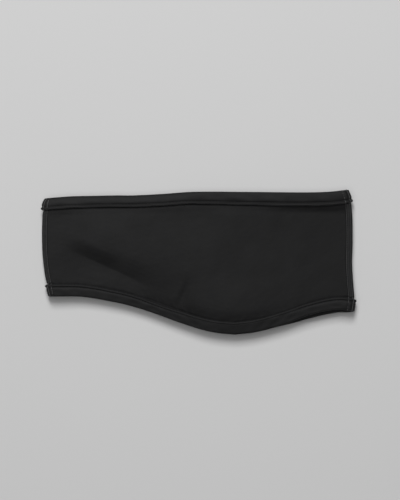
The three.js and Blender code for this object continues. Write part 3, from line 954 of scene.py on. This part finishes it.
THREAD_RADIUS = 0.19 * MM
ROW_WAYS = (8.0, 11.4)  # where on the face's table the two needle rows lie
ROW_LIFTS = (0.17 * MM, 0.06 * MM)  # the first row stands a little out of its groove
STITCH_SHARE = 0.93  # how much of its pitch a stitch covers
LOOPER_LIFT = 0.6 * THREAD_RADIUS
ROUTE_STATIONS = 700


def binding_route(on_top, strip, ways, lift_off, inside=False, run=None):
    """A path round a binding at a way over its face, or on its inner leg."""
    closed = run is None
    run = np.linspace(0, loop_length, ROUTE_STATIONS, endpoint=False) if closed else run
    groove = PLAIN_STRIP["groove"] if inside else strip_value(strip, "groove", run)
    inward, height = face_point(np.broadcast_to(ways, run.shape), strip_value(strip, "row", run) * MM, groove)
    share = inward / band_height(run)
    rise = 1 - share if on_top else share
    out = out_of_cloth(run, rise)
    if inside:
        return cloth_surface(run, rise, -leg_height(height) - lift_off), -out, closed
    return cloth_surface(run, rise, height + SEAM_ON_STRIP * seam_relief(run) + lift_off), out, closed


sewing = []


def sew(name, routes, tree, finish, radius=THREAD_RADIUS, **values):
    sewing.append(grown(name, routes, tree, Finish=finish, Thread_Radius=radius, **values))


for label, on_top, strip in (("top", True, TOP_STRIP), ("bottom", False, BOTTOM_STRIP)):
    routes = [binding_route(on_top, strip, way, lift) for way, lift in zip(ROW_WAYS, ROW_LIFTS)]
    sew(f"{label}_twin_stitches", routes, STITCH_ROW, needle_thread,
        Pitch=STITCH_PITCH, Stitch_Length=STITCH_PITCH * STITCH_SHARE)
    crossings = 2 * int(loop_length / STITCH_PITCH)
    crossing = np.linspace(0, crossings, crossings * 4, endpoint=False)
    ways = ROW_WAYS[0] + (ROW_WAYS[1] - ROW_WAYS[0]) * np.abs(np.mod(crossing, 2) - 1)
    runs = crossing / crossings * loop_length
    points, outs, _ = binding_route(on_top, strip, ways, LOOPER_LIFT, True, runs)
    sew(f"{label}_looper_thread", [(points, outs, True)], LAID_THREAD, cover_thread)

# %% [markdown]
# The end seams close the loop after the edges are bound, so their twin rows run over the bindings too. The
# thread is glossier there, and its colour is painted much lighter, partly as a lighter thread and partly as
# painted sheen, which is why each end shows fine light lines. On the bend of the fold the outer row stands
# prouder than the inner one, which is drawn into the cloth. Between them a cover thread crosses from row to
# row and holds the two panels' edges flat.

# %% The end seams' needle rows and cover threads
END_PITCH = 1.9 * MM
END_STITCH_SHARE = 0.95
END_THREAD_RADIUS = 1.1 * THREAD_RADIUS
END_ROW_INSET = 0.8 * MM
END_STATIONS = 180
OUTER_LIFT = 0.32 * MM
INNER_LIFT = 0.05 * MM
COVER_PITCH = 0.9 * MM
COVER_INSET = BINDING_HEIGHT + 0.6 * MM
COVER_LIFT = 0.4  # over the cloth at the rows, in thread radii
COVER_ARCH = 0.9  # and so much more over the seam itself


def face_offset(run, rise):
    """How high the outer face stands over the middle of the cloth, on a panel or on a binding."""
    inward = np.minimum(rise, 1 - rise) * band_height(run)
    offset = PANEL_WALL / 2 + panel_relief(run, rise)
    for on_top, strip in ((True, TOP_STRIP), (False, BOTTOM_STRIP)):
        row_inward = strip_value(strip, "row", run).mean() * MM
        groove = strip_value(strip, "groove", run).mean()
        bound = np.interp(inward, *face_point(np.linspace(0, FACE["way"][-1], 100), row_inward, groove))
        leaning = bound * (1 - edge_lean(strip, run, inward, row_inward))
        bound = leaning + SEAM_ON_STRIP * seam_relief(run)
        offset = np.where((inward < row_inward + ROW_TO_RIM) & ((rise > 0.5) == on_top), bound, offset)
    return offset


def seam_route(seam, off, inset, lift):
    """A path up an end seam, `off` to its side, `lift` above the cloth and `inset` from both edges."""
    run = seam + off
    height = band_height(run)
    rise = (inset + np.linspace(0, 1, len(off)) * (height - 2 * inset)) / height
    return cloth_surface(run, rise, face_offset(run, rise) + lift), out_of_cloth(run, rise), False


for label, (seam, to_row) in END_SEAMS.items():
    outer = 1 if label == "front" else -1
    rows = []
    for side in (-1, 1):
        lift = OUTER_LIFT if side == outer else INNER_LIFT
        rows.append(seam_route(seam, np.full(END_STATIONS, side * to_row), END_ROW_INSET, lift))
    # painted sheen: the end seams' rows use the thread whose colour is painted light
    sew(f"{label}_seam_stitches", rows, STITCH_ROW, painted_sheen_thread, END_THREAD_RADIUS,
        Pitch=END_PITCH, Stitch_Length=END_PITCH * END_STITCH_SHARE)
    seam_length = float(band_height(np.array(seam))) - 2 * BINDING_HEIGHT
    crossings = 2 * int(seam_length / COVER_PITCH)
    way = np.linspace(0, crossings, crossings * 5 + 1)
    sway = to_row * (1 - 2 * np.abs(np.mod(way, 2) - 1))
    arch = THREAD_RADIUS * (COVER_LIFT + COVER_ARCH * (1 - (sway / to_row) ** 2))
    cover = seam_route(seam, sway, COVER_INSET, arch)
    sew(f"{label}_seam_cover_thread", [cover], LAID_THREAD, cover_thread)

# %% [markdown]
# ## Hand over to the frame
# Every piece rides on the one body, each piece of cloth replaces its plain solid, and the threads go with the
# cloth that they are sewn to.

# %% Bodies and replaced solids
cloth = {
    "near_panel": near_panel,
    "far_panel": far_panel,
    "top_binding": top_binding,
    "bottom_binding": bottom_binding,
}
for node, piece in cloth.items():
    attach(piece, "root")
    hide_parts(node)
for piece in sewing:
    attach(piece, "root")
